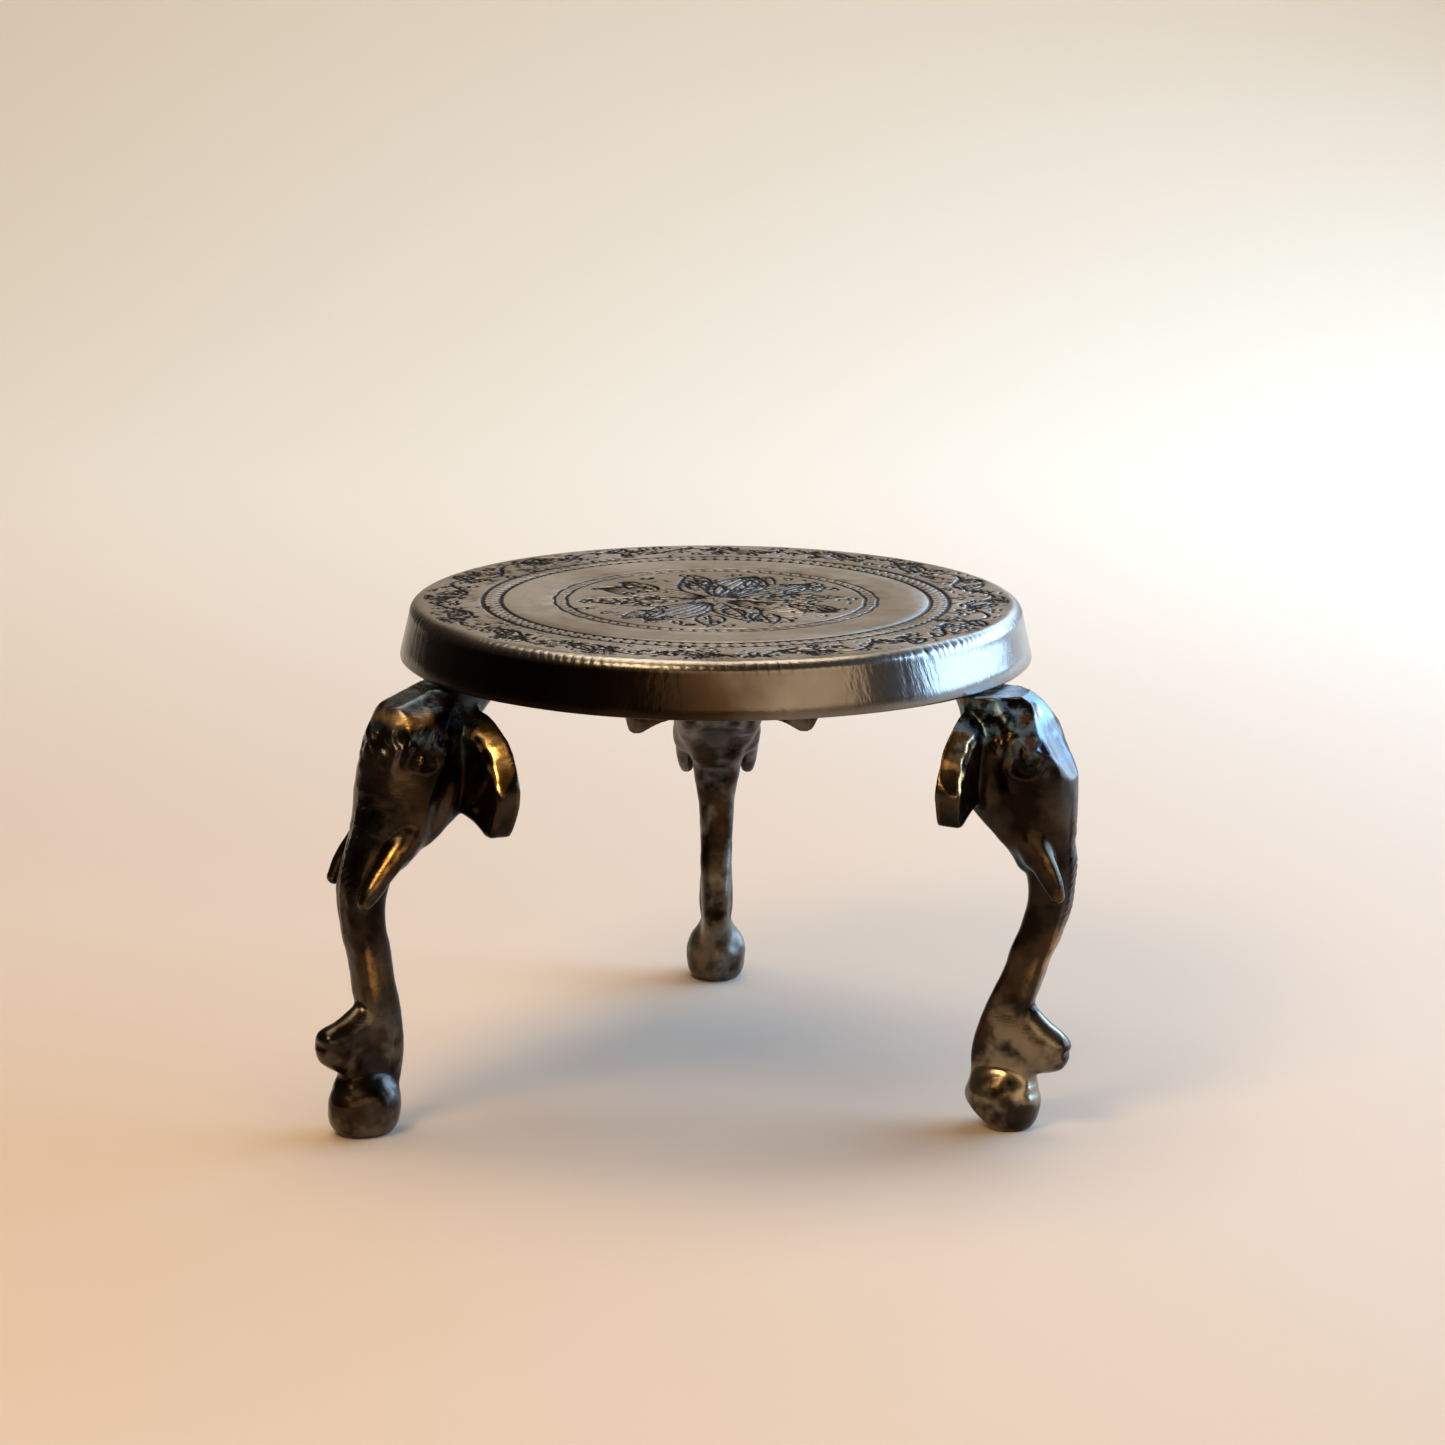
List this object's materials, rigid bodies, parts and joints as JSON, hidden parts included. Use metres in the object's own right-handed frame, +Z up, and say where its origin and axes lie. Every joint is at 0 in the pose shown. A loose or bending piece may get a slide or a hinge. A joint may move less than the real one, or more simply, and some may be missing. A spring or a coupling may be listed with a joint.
{
  "type": "footed brass tray stand",
  "caption": "Round engraved brass tray top with a turned-down rim, raised on cast elephant-head legs whose trunks curl out over pad feet.",
  "frame": {"origin": "middle of the bounding box, on the surface that the feet stand on", "axes": "+Z up; -Y towards the gap between leg_left and leg_right; leg_rear stands towards +Y; leg_left towards -X and leg_right towards +X"},
  "size_m": [0.13, 0.133, 0.086],
  "materials": {
    "tray_brass": "aged satin, dark in the engraving",
    "leg_brass": "dark patina over cast brass, rubbed bright on the ridges",
    "screw_brass": "turned brass, lightly tarnished"
  },
  "bodies": {
    "root": {"tray_top": "tray_brass", "leg_rear": "leg_brass", "leg_left": "leg_brass", "leg_right": "leg_brass", "screw_rear_a": "screw_brass", "screw_rear_b": "screw_brass", "screw_left_a": "screw_brass", "screw_left_b": "screw_brass", "screw_right_a": "screw_brass", "screw_right_b": "screw_brass"}
  },
  "joints": []
}
